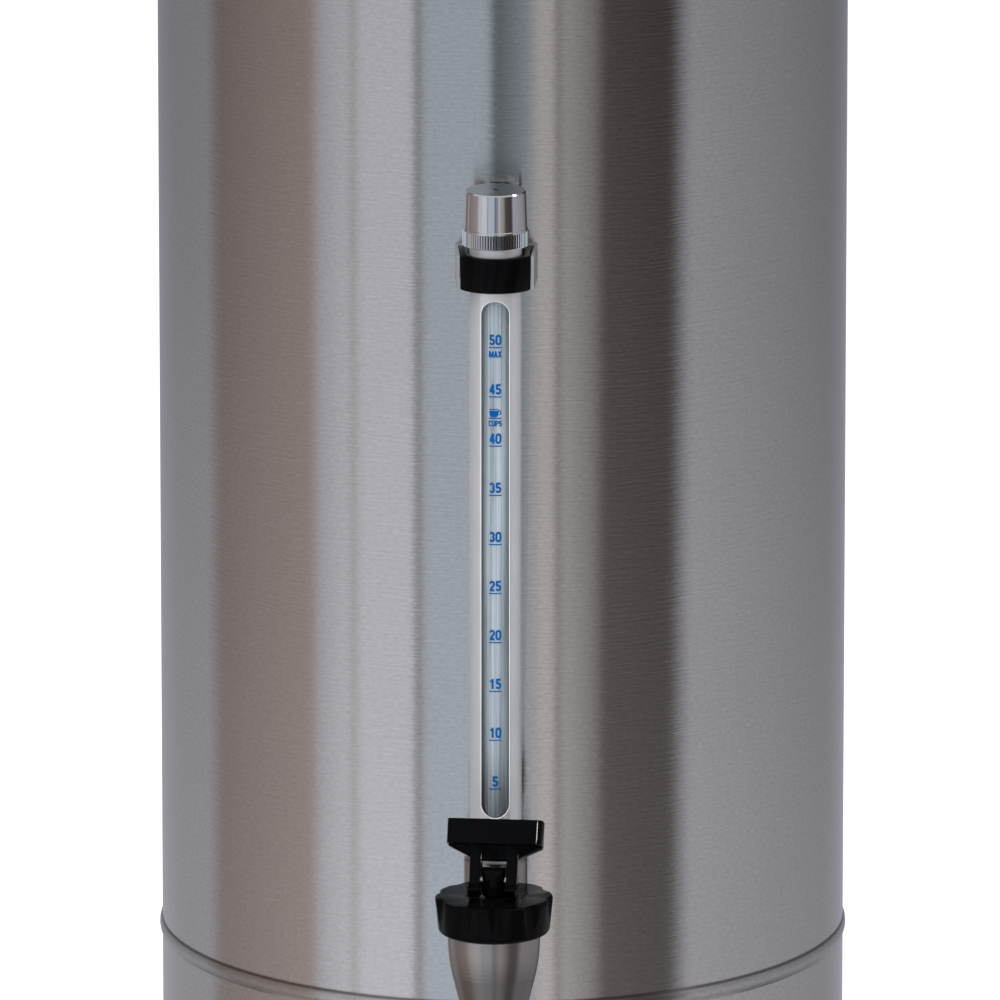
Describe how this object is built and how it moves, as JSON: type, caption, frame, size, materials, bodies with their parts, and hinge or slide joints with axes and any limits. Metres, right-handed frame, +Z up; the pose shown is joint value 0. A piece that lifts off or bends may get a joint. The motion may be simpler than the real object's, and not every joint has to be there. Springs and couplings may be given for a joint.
{
  "type": "hot water urn",
  "caption": "Upright brushed steel hot water urn with a lift-off lid, loop handles, front sight gauge, lever tap and switched heated base.",
  "frame": {"origin": "on the table plane that the four feet share, under the middle of the vessel", "axes": "+Z up along the vessel's axis, -Y towards the tap and gauge, +X to the right seen from the front"},
  "size_m": [0.316, 0.2932, 0.5174],
  "materials": {
    "brushed_steel": "horizontally brushed stainless steel",
    "plain_steel": "plain mill-finish stainless sheet",
    "satin_chrome": "satin chrome plate",
    "bright_chrome": "bright chrome plate",
    "satin_aluminium": "satin aluminium",
    "gloss_black": "glossy black plastic",
    "matte_black": "fine-grained black plastic",
    "red_plastic": "translucent red plastic",
    "amber_lens": "clear amber plastic",
    "green_lens": "clear green plastic",
    "glass": "clear glass tube",
    "silicone": "translucent white silicone",
    "black_rubber": "soft black rubber",
    "zinc_steel": "zinc-plated steel",
    "brass": "machined brass",
    "element_sheath": "heat-darkened steel sheath",
    "wire_insulation": "silicone-covered leads"
  },
  "bodies": {
    "urn": {"body_shell": "brushed_steel", "rim_ring": "brushed_steel", "base_skirt": "brushed_steel", "tank_floor": "plain_steel", "bottom_plate": "plain_steel", "gauge_bracket": "plain_steel", "tap_body": "satin_chrome", "gauge_shield": "satin_aluminium", "heating_plate": "satin_aluminium", "tap_bonnet": "gloss_black", "gauge_clip": "gloss_black", "right_handle": "matte_black", "left_handle": "matte_black", "control_panel": "matte_black", "switch_housing": "matte_black", "power_inlet": "matte_black", "thermostat": "matte_black", "thermal_cutout": "matte_black", "heating_lamp": "amber_lens", "ready_lamp": "green_lens", "gauge_glass": "glass", "gauge_top_bush": "silicone", "gauge_bottom_seal": "silicone", "bonnet_gasket": "silicone", "tap_outer_washer": "silicone", "tap_inner_washer": "silicone", "feet": "black_rubber", "foot_screws": "zinc_steel", "handle_screws": "zinc_steel", "tap_spring": "zinc_steel", "thermostat_screws": "zinc_steel", "panel_screws": "zinc_steel", "inlet_screws": "zinc_steel", "tap_nut": "brass", "inlet_pins": "brass", "heating_element": "element_sheath", "wiring": "wire_insulation"},
    "lid": {"lid": "brushed_steel", "lid_knob": "matte_black", "lid_knob_screw": "zinc_steel"},
    "stem": {"tap_stem": "gloss_black", "tap_seat_cup": "silicone"},
    "lever": {"tap_lever": "gloss_black", "lever_pin": "zinc_steel"},
    "rocker": {"switch_rocker": "red_plastic"},
    "cap_seal": {"gauge_cap_seal": "black_rubber"},
    "cap": {"gauge_cap": "bright_chrome"}
  },
  "joints": [
    {"name": "lid_lift", "type": "slide", "parent": "urn", "child": "lid", "axis": [0, 0, 1], "range_m": [0, 0.12]},
    {"name": "stem_lift", "type": "slide", "parent": "urn", "child": "stem", "axis": [0, 0, 1], "range_m": [0, 0.004], "stiffness_N_per_m": 300, "springref_m": -0.004, "deforming": ["tap_spring"]},
    {"name": "lever_swing", "type": "hinge", "parent": "stem", "child": "lever", "pos_m": [0, -0.155, 0.1605], "axis": [0.9962, -0.0872, 0], "range_deg": [0, 60]},
    {"name": "switch_tilt", "type": "hinge", "parent": "urn", "child": "rocker", "pos_m": [0, -0.1142, 0.054], "axis": [-1, 0, 0], "range_deg": [0, 16]},
    {"name": "cap_lift", "type": "slide", "parent": "urn", "child": "cap_seal", "axis": [0, 0, 1], "range_m": [0, 0.003]},
    {"name": "cap_turn", "type": "hinge", "parent": "cap_seal", "child": "cap", "pos_m": [0, -0.125, 0.3635], "axis": [0, 0, 1], "range_deg": [0, 720]}
  ],
  "couplings": [
    {"joint": "lever_swing", "follows": "stem_lift", "rad_per_m": 261.8},
    {"joint": "cap_lift", "follows": "cap_turn", "m_per_rad": 0.0002387}
  ]
}
